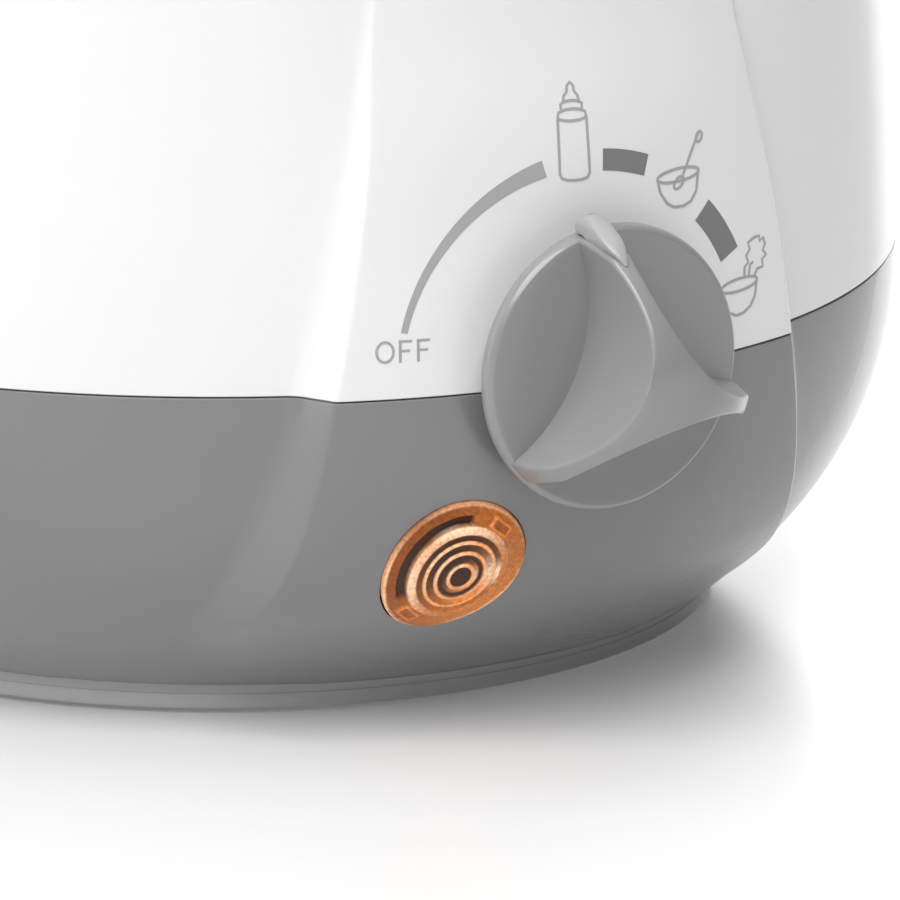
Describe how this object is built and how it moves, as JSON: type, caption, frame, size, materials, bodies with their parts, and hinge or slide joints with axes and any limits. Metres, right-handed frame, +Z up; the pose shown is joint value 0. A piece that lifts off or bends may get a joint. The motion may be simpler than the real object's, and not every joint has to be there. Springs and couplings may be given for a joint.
{
  "type": "bottle warmer",
  "caption": "Round countertop bottle warmer with a heated well, a raised control panel, a rotary mode knob with a pointer, and an amber indicator light.",
  "frame": {"origin": "centre of the foot ring's underside, on the axis of the well", "axes": "+Z up along the well's axis; -Y towards the user, where the control panel is; +Y towards the cord inlet at the back; +X to the right seen from the front"},
  "size_m": [0.136, 0.1556, 0.1365],
  "materials": {
    "white_shell": "polished moulding",
    "grey_shell": "polished moulding",
    "grey_base": "satin moulding",
    "grey_trim": "satin moulding",
    "grey_knob": "satin moulding",
    "light_pointer": "polished moulding",
    "grey_bush": "soft matte",
    "amber_lens": "clear amber with moulded rings",
    "amber_led": "clear amber",
    "coated_well": "satin non-stick coating",
    "cast_aluminium": "as cast",
    "element_steel": "heat-tinted tube",
    "pressed_steel": "bright zinc",
    "zinc_steel": "bright zinc",
    "spring_steel": "polished strip",
    "brass_shaft": "machined",
    "circuit_board": "solder-masked board",
    "black_moulding": "fine texture",
    "white_moulding": "fine texture",
    "fuse_body": "sealed body",
    "sensor_sleeve": "glass-fibre sleeve",
    "lead_sleeve": "smooth insulation",
    "glass_sleeve": "braided glass-fibre sleeve",
    "silicone": "soft matte",
    "rubber_foot": "soft matte"
  },
  "bodies": {
    "root": {"upper_housing": "white_shell", "lower_housing": "grey_shell", "base_plate": "grey_base", "foot_ring": "rubber_foot", "rim_ring": "grey_trim", "warming_well": "coated_well", "well_seal": "silicone", "heating_plate": "cast_aluminium", "heater_element": "element_steel", "heater_clamp": "pressed_steel", "clamp_nut": "zinc_steel", "thermal_fuse": "fuse_body", "fuse_clip": "pressed_steel", "temperature_sensor": "sensor_sleeve", "sensor_band": "spring_steel", "control_board": "circuit_board", "board_screws": "zinc_steel", "rotary_switch": "black_moulding", "indicator_led": "amber_led", "led_holder": "white_moulding", "indicator_lens": "amber_lens", "terminal_block": "white_moulding", "cord_inlet_bush": "grey_bush", "supply_leads": "lead_sleeve", "heater_leads": "glass_sleeve", "housing_screws": "zinc_steel", "base_screws": "zinc_steel"},
    "knob": {"switch_shaft": "brass_shaft", "knob": "grey_knob", "knob_pointer": "light_pointer", "knob_spring": "spring_steel"}
  },
  "joints": [
    {"name": "knob_turn", "type": "hinge", "parent": "root", "child": "knob", "pos_m": [0, -0.0733, 0.0392], "axis": [0, 1, 0], "range_deg": [-63, 87]}
  ]
}
